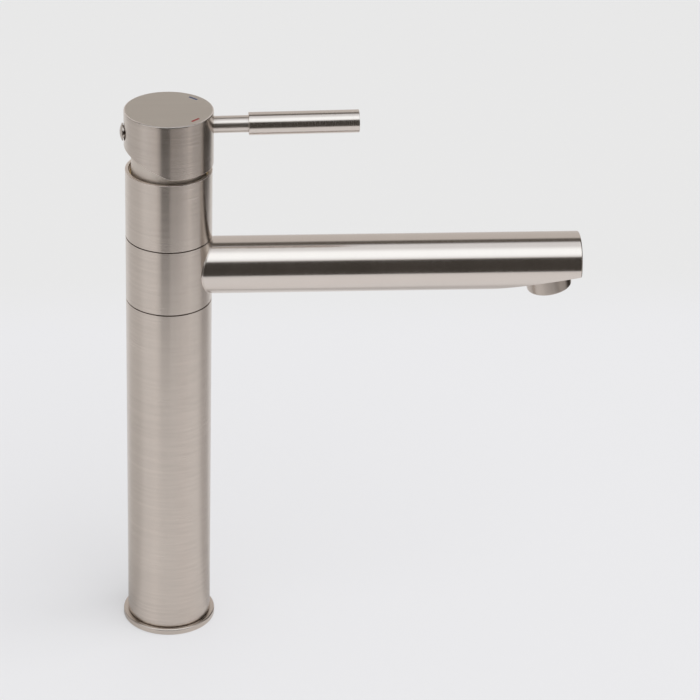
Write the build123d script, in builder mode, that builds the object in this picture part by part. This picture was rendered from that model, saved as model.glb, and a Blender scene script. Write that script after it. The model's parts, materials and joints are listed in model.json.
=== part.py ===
from build123d import *
from math import cos, radians, sin, tan
import os

os.makedirs("parts", exist_ok=True)

# Kitchen mixer tap with a pin lever, in millimetres, +Z up.
# The origin is on the column's axis, on the surface that the tap stands on.
# The spout and the lever point along +X, and the user's left is -Y.

# Fits
running_fit = 0.05        # radial or axial play where one piece turns or slides on another
seat_gap = 0.02           # radial gap of a screwed, pressed or brazed joint

# Base ring and foot
base_ring_flange = 2.5    # how far the base ring stands out past the column
base_ring_h = 3.8
base_ring_round = 0.9
shadow_gap = 0.5          # groove under the column's lower edge
foot_spigot_r = 17.9
foot_h = 24.0
stud_hole_r = 3.4         # M8 thread, as drilled
stud_hole_depth = 15.0
stud_offset = 11.5
port_r = 4.5              # M10x1 hose thread, as drilled
port_depth = 12.0
inlet_offset = 8.5        # both inlets, either side of the column's axis
gasket_width = 2.6
gasket_h = 1.6

# Column
column_wall = 1.8
column_length = 192.2
seam_gap = 0.5            # open seam over and under the collar
edge_round = 0.3          # broken edge of the turned pieces
lip_round = 0.6           # upper edge of the sleeve

# Supply tubes
supply_tube_r = 5.0
supply_tube_wall = 1.0
supply_tube_seat = 12.0   # depth that each end is pushed in
tube_seal_width = 1.4
tube_seal_h = 2.0

# Spout and collar
spout_r = 15.15
spout_wall = 1.2
collar_margin = 2.75      # collar above and below the spout tube
spout_axis_lift = 0.2     # spout axis above the collar's middle
collar_inner_wall = 2.55
collar_port_r = 8.0
nozzle_reach = 200.0      # column axis to nozzle centre
spout_tip_past = 16.4     # tip beyond the nozzle centre
sole_angle = 11.5         # rise of the flat underside towards the tip
sole_drop = 6.75          # flat underside below the spout axis, at the nozzle
plate_t = 1.2
tip_round = 0.9

# Nozzle with its aerator
nozzle_r = 11.9
nozzle_h = 8.5
nozzle_round = 0.8
nozzle_thread_r = 9.6
nozzle_thread_h = 6.5
nozzle_wall = 1.2
nozzle_lip = 0.8
nozzle_lip_h = 1.2
socket_wall = 2.2
socket_roof = 1.0
socket_port_r = 7.0
washer_h = 1.7
insert_h = 12.0
jet_hole_r = 0.8
jet_ring_pitch = 2.2
jet_rings = 3

# Journal of the valve body
inlet_r = 3.0
outlet_r = 3.2
outlet_x = -3.5
journal_wall = 3.2        # metal left between an inlet and the water channel
channel_depth = 2.5
channel_h = 10.0
seal_offset = 12.5        # spout seals above and below the channel's middle
seal_r = 1.2
seal_groove_w = 3.0
slip_ring_recess = 1.05
tail_step = 0.7
tail_length = 11.0

# Cartridge cup, sleeve and neck
cartridge_r = 17.5
cartridge_play = 0.1
nut_thread_step = 1.2
cup_wall = 1.48
sleeve_wall = 2.2
seat_height = 15.55       # cartridge seat above the sleeve's lower edge
shoulder_height = 14.15   # cartridge shoulder above the seat
nut_flange_h = 4.5
nut_spigot_h = 4.0
nut_bore_play = 0.05
thread_relief = 1.0
sleeve_lip = 3.3          # sleeve above the cup's rim
rim_wall = 1.6            # the sleeve's thinner rim, which stands clear of the neck
rim_depth = 2.0
neck_wall = 1.78
neck_top_t = 1.6
neck_top_above_pivot = 2.5
neck_round = 4.0
neck_opening_play = 0.9

# Cartridge
cartridge_wall = 2.5
cartridge_base_h = 6.0
housing_neck_wall = 1.4
housing_top_t = 3.0
port_seal_h = 1.8
port_seal_width = 1.3
fixed_disc_t = 3.2
kidney_start = 35.0
kidney_sweep = 55.0
kidney_w = 4.4
moving_disc_r = 11.0
moving_disc_t = 3.2
pocket_length = 10.5
pocket_width = 11.0
pocket_shift = -1.0
pocket_depth = 1.8
carrier_r = 11.3
carrier_half_width = 9.5
carrier_h = 8.9
ball_height = 4.2         # ball centre above the carrier's underside
socket_floor = 0.5
rotor_gap = 0.4           # rotor clear of the carrier and the moving disc
rotor_flange_t = 3.4
rotor_neck_r = 10.5
rotor_neck_above_pivot = 4.0
stop_track_r = 12.7
stop_peg_r = 1.1
stop_peg_h = 1.8
stop_play = 0.1
stop_margin = 1.0         # degrees of free groove past each limit

# Stem and its motion
lift_range = 22.0         # degrees, closed to fully open
turn_limit = 50.0         # degrees to each side
stem_arm = 14.0           # pivot to ball centre
stem_ball_r = 3.0
stem_neck_r = 2.2
stem_t = 7.0
stem_w = 8.0
stem_block_below = 6.0
stem_pin_r = 1.5
pin_recess = 0.5
slot_play = 0.4

# Handle
neck_to_handle = 1.5
handle_wall = 2.13
handle_h = 29.5
handle_below_pivot = 5.0
rear_cut_angle = 23.0
ceiling_above_pivot = 9.0
handle_top_skin = 3.3
handle_top_round = 0.4

# Lever
lever_height = 20.4       # lever axis above the handle's lower edge
lever_rise = 0.95         # degrees
rod_r = 4.4
rod_visible = 17.7
rod_recess = 0.8
rod_thread_r = 3.0
rod_thread_l = 12.0
grip_r = 5.95
grip_length = 56.8
grip_chamfer = 0.35

# Rear screw and its plug
screw_height = 17.3       # screw axis above the handle's lower edge
screw_r = 2.5
screw_length = 9.0
screw_key_r = 1.25
screw_key_depth = 3.0
plug_stem_r = 3.4
plug_stem_l = 5.0
plug_head_r = 4.6
plug_head_h = 1.75
plug_rim_h = 0.5
plug_play = 0.5           # free depth behind the plug's stem
plug_standoff = 0.3

# Temperature marks in the handle's top
mark_length = 5.5
mark_width = 1.35
mark_depth = 0.4
mark_corner = 0.3
mark_radius = 18.9
mark_angle = 46.5

# Radii that follow from the sizes above
cup_bore_r = cartridge_r + cartridge_play
nut_r = cup_bore_r + nut_thread_step
cup_r = nut_r + cup_wall
column_r = cup_r + seat_gap + sleeve_wall
column_bore_r = column_r - column_wall
base_ring_r = column_r + base_ring_flange
journal_r = inlet_offset + inlet_r + journal_wall + channel_depth
tail_r = journal_r - tail_step
collar_bore_r = journal_r + running_fit
pocket_r = collar_bore_r + collar_inner_wall
spout_bore_r = spout_r - spout_wall
neck_bore_r = cup_bore_r + seat_gap
neck_r = neck_bore_r + neck_wall
handle_bore_r = neck_r + neck_to_handle
handle_r = handle_bore_r + handle_wall
housing_bore_r = cartridge_r - cartridge_wall
housing_neck_r = housing_bore_r + housing_neck_wall
rotor_r = housing_bore_r - running_fit
carrier_slide = carrier_half_width + running_fit

# Heights that follow, from the worktop up
column_top = base_ring_h + column_length
collar_bottom = column_top + seam_gap
collar_h = 2 * (spout_r + collar_margin)
spout_z = collar_bottom + collar_h / 2 + spout_axis_lift
collar_top = collar_bottom + collar_h
sleeve_bottom = collar_top + seam_gap
adapter_top = column_top - slip_ring_recess
tail_bottom = adapter_top - tail_length
upper_ring_seat = sleeve_bottom + slip_ring_recess
seat_z = sleeve_bottom + seat_height
shoulder_z = seat_z + shoulder_height
cup_rim = shoulder_z + nut_flange_h
sleeve_top = cup_rim + sleeve_lip
fixed_disc_z = seat_z + cartridge_base_h
moving_disc_z = fixed_disc_z + fixed_disc_t + running_fit
carrier_z = moving_disc_z + moving_disc_t
carrier_top = carrier_z + carrier_h
lean = radians(lift_range / 2)
pivot_z = carrier_z + ball_height + stem_arm * cos(lean)
rotor_flange_z = carrier_top + rotor_gap
rotor_flange_top = rotor_flange_z + rotor_flange_t
housing_ceiling = rotor_flange_top + running_fit
housing_top = housing_ceiling + housing_top_t
handle_bottom = pivot_z - handle_below_pivot
handle_top = handle_bottom + handle_h
handle_ceiling = pivot_z + ceiling_above_pivot
neck_top = pivot_z + neck_top_above_pivot
lever_z = handle_bottom + lever_height
screw_z = handle_bottom + screw_height

# Places along X
spout_tip = nozzle_reach + spout_tip_past
ball_x = -stem_arm * sin(lean)

FLOOR = (Align.CENTER, Align.CENTER, Align.MIN)


def disc(bottom, height, radius, mode=Mode.ADD):
    """Add a round disc on the column's axis to the open part, or cut it out."""
    with Locations((0, 0, bottom)):
        Cylinder(radius, height, align=FLOOR, mode=mode)


def bar(start_x, height, length, radius, mode=Mode.ADD):
    """Add a round bar along +X at a height to the open part, or cut it out."""
    with Locations(Location((start_x, 0, height), (0, 90, 0))):
        Cylinder(radius, length, align=FLOOR, mode=mode)


def post(x, y, bottom, height, radius, mode=Mode.ADD):
    """Add an upright round post at x, y to the open part, or cut it out."""
    with Locations((x, y, bottom)):
        Cylinder(radius, height, align=FLOOR, mode=mode)


def rims(part, radius):
    """The round edges of one radius on a part."""
    return [edge for edge in part.edges().filter_by(GeomType.CIRCLE) if abs(edge.radius - radius) < 1e-4]


# Base ring, with a raised land inside the shadow gap and a gasket groove below
land_r = column_bore_r + column_wall / 2
gasket_r = (foot_spigot_r + base_ring_r) / 2

with BuildPart() as base_ring:
    disc(0, base_ring_h - shadow_gap, base_ring_r)
    disc(0, base_ring_h, land_r)
    disc(0, base_ring_h, foot_spigot_r + seat_gap, Mode.SUBTRACT)
    with BuildSketch():
        Circle(gasket_r + gasket_width / 2)
        Circle(gasket_r - gasket_width / 2, mode=Mode.SUBTRACT)
    extrude(amount=gasket_h, mode=Mode.SUBTRACT)
    outer = ShapeList(rims(base_ring, base_ring_r)).sort_by(Axis.Z)
    fillet(outer[-1], base_ring_round)
    chamfer(ShapeList(rims(base_ring, base_ring_r)).sort_by(Axis.Z)[0], edge_round)
base_ring.part.label = "base_ring"
export_step(base_ring.part, "parts/base_ring.step")

with BuildPart() as base_gasket:
    with BuildSketch():
        Circle(gasket_r + gasket_width / 2 - seat_gap)
        Circle(gasket_r - gasket_width / 2 + seat_gap, mode=Mode.SUBTRACT)
    extrude(amount=gasket_h)
base_gasket.part.label = "base_gasket"
export_step(base_gasket.part, "parts/base_gasket.step")

# Foot, screwed into the column: two hose ports, two stud holes, two tube seats
foot_top = base_ring_h + foot_h
tube_bottom = foot_top - supply_tube_seat
tube_top = tail_bottom + supply_tube_seat
tube_seal_r = supply_tube_r + seat_gap + tube_seal_width

with BuildPart() as foot_insert:
    disc(0, foot_top, foot_spigot_r)
    disc(base_ring_h, foot_h, column_bore_r - seat_gap)
    for side in (-1, 1):
        y = side * inlet_offset
        post(0, y, 0, port_depth, port_r, Mode.SUBTRACT)
        post(0, y, 0, foot_top, supply_tube_r - supply_tube_wall, Mode.SUBTRACT)
        post(0, y, tube_bottom, supply_tube_seat, supply_tube_r + seat_gap, Mode.SUBTRACT)
        post(0, y, foot_top - tube_seal_h, tube_seal_h, tube_seal_r, Mode.SUBTRACT)
        post(side * stud_offset, 0, 0, stud_hole_depth, stud_hole_r, Mode.SUBTRACT)
foot_insert.part.label = "foot_insert"
export_step(foot_insert.part, "parts/foot_insert.step")

# Column
with BuildPart() as column_tube:
    disc(base_ring_h, column_length, column_r)
    disc(base_ring_h, column_length, column_bore_r, Mode.SUBTRACT)
    chamfer(rims(column_tube, column_r), edge_round)
column_tube.part.label = "column_tube"
export_step(column_tube.part, "parts/column_tube.step")

# Hot supply on the user's left, cold on the right
for name, side in (("hot_supply_tube", -1), ("cold_supply_tube", 1)):
    with BuildPart() as supply_tube:
        tube_y = side * inlet_offset
        post(0, tube_y, tube_bottom, tube_top - tube_bottom, supply_tube_r)
        post(0, tube_y, tube_bottom, tube_top - tube_bottom, supply_tube_r - supply_tube_wall, Mode.SUBTRACT)
    supply_tube.part.label = name
    export_step(supply_tube.part, f"parts/{name}.step")

with BuildPart() as supply_tube_seals:
    for side in (-1, 1):
        for seal_z in (foot_top - tube_seal_h, tail_bottom):
            post(0, side * inlet_offset, seal_z, tube_seal_h, tube_seal_r - seat_gap)
            post(0, side * inlet_offset, seal_z, tube_seal_h, supply_tube_r + seat_gap, Mode.SUBTRACT)
supply_tube_seals.part.label = "supply_tube_seals"
export_step(supply_tube_seals.part, "parts/supply_tube_seals.step")

# Adapter between the column and the valve body
with BuildPart() as column_adapter:
    disc(tail_bottom, tail_length, column_bore_r - seat_gap)
    disc(tail_bottom, tail_length, tail_r + seat_gap, Mode.SUBTRACT)
column_adapter.part.label = "column_adapter"
export_step(column_adapter.part, "parts/column_adapter.step")

# Valve body: tail, journal with its water channel, and the cartridge cup
journal_length = upper_ring_seat - adapter_top

with BuildPart() as valve_body:
    disc(tail_bottom, tail_length, tail_r)
    disc(adapter_top, journal_length, journal_r)
    disc(upper_ring_seat, cup_rim - upper_ring_seat, cup_r)
    disc(seat_z, cup_rim - seat_z, cup_bore_r, Mode.SUBTRACT)
    disc(shoulder_z - thread_relief, nut_flange_h + thread_relief, nut_r, Mode.SUBTRACT)
    # Water channel and seal grooves round the journal
    for groove_z, groove_w, groove_depth in (
        (spout_z, channel_h, channel_depth),
        (spout_z - seal_offset, seal_groove_w, 2 * seal_r),
        (spout_z + seal_offset, seal_groove_w, 2 * seal_r),
    ):
        with BuildSketch(Plane.XY.offset(groove_z - groove_w / 2)):
            Circle(journal_r)
            Circle(journal_r - groove_depth, mode=Mode.SUBTRACT)
        extrude(amount=groove_w, mode=Mode.SUBTRACT)
    # Inlets from the supply tubes up to the cartridge
    for side in (-1, 1):
        y = side * inlet_offset
        post(0, y, tail_bottom, seat_z - tail_bottom, inlet_r, Mode.SUBTRACT)
        post(0, y, tail_bottom, supply_tube_seat, supply_tube_r + seat_gap, Mode.SUBTRACT)
        post(0, y, tail_bottom, tube_seal_h, tube_seal_r, Mode.SUBTRACT)
    # Outlet down to the channel, and across into it
    post(outlet_x, 0, spout_z, seat_z - spout_z, outlet_r, Mode.SUBTRACT)
    with Locations(Location((0, 0, spout_z), (0, 90, 0))):
        Cylinder(outlet_r, 2 * journal_r, mode=Mode.SUBTRACT)
valve_body.part.label = "valve_body"
export_step(valve_body.part, "parts/valve_body.step")

# Slip rings under and over the collar
slip_ring_h = slip_ring_recess + seam_gap - running_fit
slip_rings = (
    ("lower_slip_ring", adapter_top, column_bore_r - seat_gap),
    ("upper_slip_ring", upper_ring_seat - slip_ring_h, cup_r - seat_gap),
)

for name, ring_z, ring_r in slip_rings:
    with BuildPart() as slip_ring:
        disc(ring_z, slip_ring_h, ring_r)
        disc(ring_z, slip_ring_h, journal_r + seat_gap, Mode.SUBTRACT)
    slip_ring.part.label = name
    export_step(slip_ring.part, f"parts/{name}.step")

# Two round seals in the journal's grooves
with BuildPart() as spout_seals:
    for side in (-1, 1):
        with Locations((0, 0, spout_z + side * seal_offset)):
            Torus(journal_r - seal_r, seal_r)
spout_seals.part.label = "spout_seals"
export_step(spout_seals.part, "parts/spout_seals.step")

# Pocket for the spout tube: its cylinder without the collar's inner wall
with BuildPart() as tube_pocket:
    bar(0, spout_z, column_r + spout_r, spout_r + seat_gap)
    disc(collar_bottom, collar_h, pocket_r, Mode.SUBTRACT)

# Collar: turns on the journal and carries the spout tube
with BuildPart() as spout_collar:
    disc(collar_bottom, collar_h, column_r)
    chamfer(rims(spout_collar, column_r), edge_round)
    disc(collar_bottom, collar_h, collar_bore_r, Mode.SUBTRACT)
    add(tube_pocket.part, mode=Mode.SUBTRACT)
    bar(0, spout_z, column_r, collar_port_r, Mode.SUBTRACT)
spout_collar.part.label = "spout_collar"
export_step(spout_collar.part, "parts/spout_collar.step")

# Flat underside of the tip, facing down and forwards
sole_tilt = radians(sole_angle)
sole_plane = Plane(
    origin=(nozzle_reach, 0, spout_z - sole_drop),
    x_dir=(cos(sole_tilt), 0, sin(sole_tilt)),
    z_dir=(sin(sole_tilt), 0, -cos(sole_tilt)),
)
spout_inside_r = spout_bore_r - seat_gap

# Spout tube: coped to the collar's pocket and cut flat at the tip
with BuildPart() as spout_tube:
    bar(0, spout_z, spout_tip, spout_r)
    tip_rim = ShapeList(rims(spout_tube, spout_r)).sort_by(Axis.X)[-1]
    fillet(tip_rim, tip_round)
    bar(0, spout_z, spout_tip, spout_bore_r, Mode.SUBTRACT)
    disc(collar_bottom, collar_h, pocket_r, Mode.SUBTRACT)
    split(bisect_by=sole_plane, keep=Keep.BOTTOM)
spout_tube.part.label = "spout_tube"
export_step(spout_tube.part, "parts/spout_tube.step")

# Plate that closes the tip
with BuildPart() as spout_end_plate:
    bar(spout_tip - plate_t, spout_z, plate_t, spout_inside_r)
    split(bisect_by=sole_plane, keep=Keep.BOTTOM)
spout_end_plate.part.label = "spout_end_plate"
export_step(spout_end_plate.part, "parts/spout_end_plate.step")

# Flat plate in the cut, with the nozzle's hole
with BuildPart() as spout_sole:
    bar(pocket_r, spout_z, spout_tip - plate_t - pocket_r, spout_inside_r)
    split(bisect_by=sole_plane, keep=Keep.BOTTOM)
    split(bisect_by=sole_plane.offset(-plate_t), keep=Keep.TOP)
    with Locations(sole_plane):
        Cylinder(nozzle_thread_r, 4 * plate_t, mode=Mode.SUBTRACT)
spout_sole.part.label = "spout_sole"
export_step(spout_sole.part, "parts/spout_sole.step")

# Threaded boss behind the sole; heights run outwards from the sole
socket_top = -nozzle_thread_h - washer_h - socket_roof

with BuildPart(sole_plane) as aerator_socket:
    disc(socket_top, -plate_t - socket_top, nozzle_thread_r + socket_wall)
    disc(socket_top + socket_roof, -plate_t - socket_top, nozzle_thread_r, Mode.SUBTRACT)
    disc(socket_top, socket_roof, socket_port_r, Mode.SUBTRACT)
aerator_socket.part.label = "aerator_socket"
export_step(aerator_socket.part, "parts/aerator_socket.step")

with BuildPart(sole_plane) as aerator_washer:
    disc(-nozzle_thread_h - washer_h, washer_h, nozzle_thread_r - seat_gap)
    disc(-nozzle_thread_h - washer_h, washer_h, socket_port_r, Mode.SUBTRACT)
aerator_washer.part.label = "aerator_washer"
export_step(aerator_washer.part, "parts/aerator_washer.step")

# Aerator housing: the ring that shows, its thread, and a lip that holds the insert
insert_bore_r = nozzle_thread_r - nozzle_wall
insert_bottom = nozzle_h - nozzle_lip_h

with BuildPart(sole_plane) as aerator_housing:
    disc(0, nozzle_h, nozzle_r)
    fillet(ShapeList(rims(aerator_housing, nozzle_r)).sort_by(Axis.Z)[0], nozzle_round)
    disc(-nozzle_thread_h, nozzle_thread_h, nozzle_thread_r - seat_gap)
    disc(-nozzle_thread_h, nozzle_thread_h + insert_bottom, insert_bore_r, Mode.SUBTRACT)
    disc(insert_bottom, nozzle_lip_h, insert_bore_r - nozzle_lip, Mode.SUBTRACT)
aerator_housing.part.label = "aerator_housing"
export_step(aerator_housing.part, "parts/aerator_housing.step")

# Insert with rings of jet holes
with BuildPart(sole_plane) as aerator_insert:
    disc(insert_bottom - insert_h, insert_h, insert_bore_r - seat_gap)
    for ring in range(jet_rings + 1):
        with PolarLocations(ring * jet_ring_pitch, max(1, 6 * ring)):
            Hole(jet_hole_r)
aerator_insert.part.label = "aerator_insert"
export_step(aerator_insert.part, "parts/aerator_insert.step")

# Fixed sleeve over the cartridge cup
with BuildPart() as upper_sleeve:
    disc(sleeve_bottom, sleeve_top - sleeve_bottom, column_r)
    sleeve_rims = ShapeList(rims(upper_sleeve, column_r)).sort_by(Axis.Z)
    chamfer(sleeve_rims[0], edge_round)
    fillet(ShapeList(rims(upper_sleeve, column_r)).sort_by(Axis.Z)[-1], lip_round)
    disc(sleeve_bottom, sleeve_top - sleeve_bottom, cup_r + seat_gap, Mode.SUBTRACT)
    disc(sleeve_top - rim_depth, rim_depth, column_r - rim_wall, Mode.SUBTRACT)
upper_sleeve.part.label = "upper_sleeve"
export_step(upper_sleeve.part, "parts/upper_sleeve.step")

# Cartridge base: three ports, each with a pocket for its seal
ports = ((0, -inlet_offset, inlet_r), (0, inlet_offset, inlet_r), (outlet_x, 0, outlet_r))

with BuildPart() as cartridge_base:
    disc(seat_z, cartridge_base_h, cartridge_r)
    for x, y, r in ports:
        post(x, y, seat_z, cartridge_base_h, r, Mode.SUBTRACT)
        post(x, y, seat_z, port_seal_h, r + port_seal_width, Mode.SUBTRACT)
cartridge_base.part.label = "cartridge_base"
export_step(cartridge_base.part, "parts/cartridge_base.step")

with BuildPart() as cartridge_seals:
    for x, y, r in ports:
        post(x, y, seat_z, port_seal_h, r + port_seal_width - seat_gap)
        post(x, y, seat_z, port_seal_h, r, Mode.SUBTRACT)
cartridge_seals.part.label = "cartridge_seals"
export_step(cartridge_seals.part, "parts/cartridge_seals.step")

# Fixed ceramic disc with two curved inlets and a round outlet
with BuildPart() as fixed_disc:
    with BuildSketch(Plane.XY.offset(fixed_disc_z)):
        Circle(housing_bore_r - seat_gap)
        for side in (-1, 1):
            middle = side * (kidney_start + kidney_sweep / 2)
            sweep_arc = CenterArc((0, 0), inlet_offset, middle - kidney_sweep / 2, kidney_sweep)
            SlotArc(sweep_arc, kidney_w, mode=Mode.SUBTRACT)
        with Locations((outlet_x, 0)):
            Circle(outlet_r, mode=Mode.SUBTRACT)
    extrude(amount=fixed_disc_t)
fixed_disc.part.label = "fixed_disc"
export_step(fixed_disc.part, "parts/fixed_disc.step")

# Moving ceramic disc: its pocket joins the inlets to the outlet when it is forward
with BuildPart() as moving_disc:
    with BuildSketch(Plane.XY.offset(moving_disc_z)):
        with Locations((ball_x, 0)):
            Circle(moving_disc_r)
    extrude(amount=moving_disc_t)
    with BuildSketch(Plane.XY.offset(moving_disc_z)):
        with Locations((ball_x + pocket_shift, 0)):
            RectangleRounded(pocket_length, pocket_width, pocket_depth)
    extrude(amount=pocket_depth, mode=Mode.SUBTRACT)
moving_disc.part.label = "moving_disc"
export_step(moving_disc.part, "parts/moving_disc.step")

# Carrier with flat sides that slide in the rotor, and a socket for the stem's ball
socket_r = stem_ball_r + running_fit
above_ball = carrier_h - ball_height
mouth_r = stem_neck_r / cos(lean) + above_ball * tan(lean) + slot_play

with BuildPart() as disc_carrier:
    with BuildSketch(Plane.XY.offset(carrier_z)):
        with Locations((ball_x, 0)):
            Circle(carrier_r)
            Rectangle(2 * carrier_r, 2 * carrier_half_width, mode=Mode.INTERSECT)
    extrude(amount=carrier_h)
    post(ball_x, 0, carrier_z + socket_floor, carrier_h, socket_r, Mode.SUBTRACT)
    post(ball_x, 0, carrier_top - above_ball + stem_ball_r, carrier_h, mouth_r, Mode.SUBTRACT)
disc_carrier.part.label = "disc_carrier"
export_step(disc_carrier.part, "parts/disc_carrier.step")

# Cartridge housing with the peg that stops the rotor
with BuildPart() as cartridge_housing:
    disc(fixed_disc_z, shoulder_z - fixed_disc_z, cartridge_r)
    disc(fixed_disc_z, housing_top - fixed_disc_z, housing_neck_r)
    disc(fixed_disc_z, housing_ceiling - fixed_disc_z, housing_bore_r, Mode.SUBTRACT)
    disc(fixed_disc_z, housing_top - fixed_disc_z, rotor_neck_r + running_fit, Mode.SUBTRACT)
    peg_z = rotor_flange_top - stop_peg_h
    post(-stop_track_r, 0, peg_z, housing_top - peg_z, stop_peg_r)
cartridge_housing.part.label = "cartridge_housing"
export_step(cartridge_housing.part, "parts/cartridge_housing.step")

# Rotor: flange with the stop groove, guide legs, neck, stem slot and pin hole
slot_below = stem_block_below * sin(lean) + stem_t / 2 * cos(lean)
slot_above = rotor_neck_above_pivot * tan(lean) + stem_t / 2 / cos(lean)
slot_length = 2 * (max(slot_below, slot_above) + slot_play)
rotor_top = pivot_z + rotor_neck_above_pivot

with BuildPart() as rotor:
    disc(rotor_flange_z, rotor_flange_t, rotor_r)
    disc(rotor_flange_z, rotor_top - rotor_flange_z, rotor_neck_r)
    with BuildSketch(Plane.XY.offset(carrier_z + rotor_gap)):
        Circle(rotor_r)
        Rectangle(3 * rotor_r, 2 * carrier_slide, mode=Mode.SUBTRACT)
    extrude(amount=rotor_flange_z - carrier_z - rotor_gap)
    with BuildSketch(Plane.XY.offset(rotor_flange_z)):
        Rectangle(slot_length, stem_w + 2 * running_fit)
    extrude(amount=rotor_top - rotor_flange_z, mode=Mode.SUBTRACT)
    groove_half = turn_limit + stop_margin
    with BuildSketch(Plane.XY.offset(rotor_flange_top)):
        stop_arc = CenterArc((0, 0), stop_track_r, 180 - groove_half, 2 * groove_half)
        SlotArc(stop_arc, 2 * (stop_peg_r + stop_play))
    extrude(amount=-stop_peg_h - stop_play, mode=Mode.SUBTRACT)
    with Locations(Location((0, 0, pivot_z), (90, 0, 0))):
        Cylinder(stem_pin_r, 2 * rotor_neck_r, mode=Mode.SUBTRACT)
rotor.part.label = "rotor"
export_step(rotor.part, "parts/rotor.step")

# Pin across the rotor's neck that the stem tilts on
with BuildPart() as stem_pin:
    with Locations(Location((0, 0, pivot_z), (90, 0, 0))):
        Cylinder(stem_pin_r - seat_gap, 2 * (rotor_neck_r - pin_recess))
stem_pin.part.label = "stem_pin"
export_step(stem_pin.part, "parts/stem_pin.step")

# Stem, leaning forward when closed: square bar, neck, and a ball that moves the carrier
stem_plane = Plane(
    origin=(0, 0, pivot_z),
    x_dir=(cos(lean), 0, -sin(lean)),
    z_dir=(sin(lean), 0, cos(lean)),
)
stem_length = (handle_top - handle_top_skin - pivot_z) / cos(lean)

with BuildPart(stem_plane) as stem:
    with BuildSketch(stem_plane.offset(-stem_block_below)):
        Rectangle(stem_t, stem_w)
    extrude(amount=stem_block_below + stem_length)
    disc(-stem_arm, stem_arm - stem_block_below, stem_neck_r)
    with Locations((0, 0, -stem_arm)):
        Sphere(stem_ball_r)
    with Locations(Location((0, 0, 0), (90, 0, 0))):
        Cylinder(stem_pin_r + running_fit, 2 * stem_w, mode=Mode.SUBTRACT)
stem.part.label = "stem"
export_step(stem.part, "parts/stem.step")

# Ring nut that holds the cartridge down, with a threaded spigot for the neck
with BuildPart() as cartridge_nut:
    disc(shoulder_z, nut_flange_h, nut_r - seat_gap)
    disc(cup_rim, nut_spigot_h, cup_bore_r)
    disc(shoulder_z, nut_flange_h + nut_spigot_h, housing_neck_r + nut_bore_play, Mode.SUBTRACT)
cartridge_nut.part.label = "cartridge_nut"
export_step(cartridge_nut.part, "parts/cartridge_nut.step")

# Neck between the sleeve and the handle
with BuildPart() as neck_cover:
    disc(cup_rim, neck_top - cup_rim, neck_r)
    fillet(ShapeList(rims(neck_cover, neck_r)).sort_by(Axis.Z)[-1], neck_round)
    disc(cup_rim, neck_top - neck_top_t - cup_rim, neck_bore_r, Mode.SUBTRACT)
    disc(cup_rim, neck_top - cup_rim, rotor_neck_r + neck_opening_play, Mode.SUBTRACT)
neck_cover.part.label = "neck_cover"
export_step(neck_cover.part, "parts/neck_cover.step")

# Handle: a thick cap on the stem, cut away under its rear so that it can tilt back
lever_tilt = radians(lever_rise)
lever_plane = Plane(
    origin=(0, 0, lever_z),
    x_dir=(0, 1, 0),
    z_dir=(cos(lever_tilt), 0, sin(lever_tilt)),
)
rod_seat = handle_r - rod_recess
cut_reach = 1.5 * handle_r
cut_rise = cut_reach * tan(radians(rear_cut_angle))
marks = (("hot_mark", -mark_angle), ("cold_mark", mark_angle))

with BuildPart() as handle_cap:
    disc(handle_bottom, handle_h, handle_r)
    handle_rims = ShapeList(rims(handle_cap, handle_r)).sort_by(Axis.Z)
    fillet(handle_rims[-1], handle_top_round)
    disc(handle_bottom, handle_ceiling - handle_bottom, handle_bore_r, Mode.SUBTRACT)
    with BuildSketch(Plane.XZ):
        with BuildLine():
            Polyline(
                (0, handle_bottom),
                (-cut_reach, handle_bottom + cut_rise),
                (-cut_reach, handle_bottom - cut_rise),
                (0, handle_bottom - cut_rise),
                close=True,
            )
        make_face()
    extrude(amount=cut_reach, both=True, mode=Mode.SUBTRACT)
    # Socket for the stem
    with BuildSketch(stem_plane.offset(ceiling_above_pivot / 2)):
        Rectangle(stem_t + 2 * seat_gap, stem_w + 2 * seat_gap)
    extrude(amount=stem_length - ceiling_above_pivot / 2, mode=Mode.SUBTRACT)
    # Rear screw thread and plug bore
    bar(-handle_r, screw_z, handle_r, screw_r, Mode.SUBTRACT)
    bar(-2 * handle_r, screw_z, handle_r + plug_stem_l + plug_play, plug_stem_r + seat_gap, Mode.SUBTRACT)
    # Lever thread and the shallow recess that the rod seats in
    with Locations(lever_plane.offset(rod_seat - rod_thread_l)):
        Cylinder(rod_thread_r, rod_thread_l, align=FLOOR, mode=Mode.SUBTRACT)
    with Locations(lever_plane.offset(rod_seat)):
        Cylinder(rod_r + seat_gap, handle_r, align=FLOOR, mode=Mode.SUBTRACT)
    # Pockets for the two marks
    with BuildSketch(Plane.XY.offset(handle_top)):
        for name, angle in marks:
            with PolarLocations(mark_radius, 1, start_angle=angle):
                RectangleRounded(mark_width, mark_length, mark_corner)
    extrude(amount=-mark_depth, mode=Mode.SUBTRACT)
handle_cap.part.label = "handle_cap"
export_step(handle_cap.part, "parts/handle_cap.step")

# Red and blue marks, flush with the handle's top
for name, angle in marks:
    with BuildPart() as mark:
        with BuildSketch(Plane.XY.offset(handle_top)):
            with PolarLocations(mark_radius, 1, start_angle=angle):
                RectangleRounded(mark_width - 2 * seat_gap, mark_length - 2 * seat_gap, mark_corner)
        extrude(amount=-mark_depth)
    mark.part.label = name
    export_step(mark.part, f"parts/{name}.step")

# Lever rod with a thread at each end
with BuildPart(lever_plane) as lever_rod:
    disc(rod_seat, rod_recess + rod_visible, rod_r)
    disc(rod_seat - rod_thread_l, rod_recess + rod_visible + 2 * rod_thread_l, rod_thread_r - seat_gap)
lever_rod.part.label = "lever_rod"
export_step(lever_rod.part, "parts/lever_rod.step")

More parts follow.
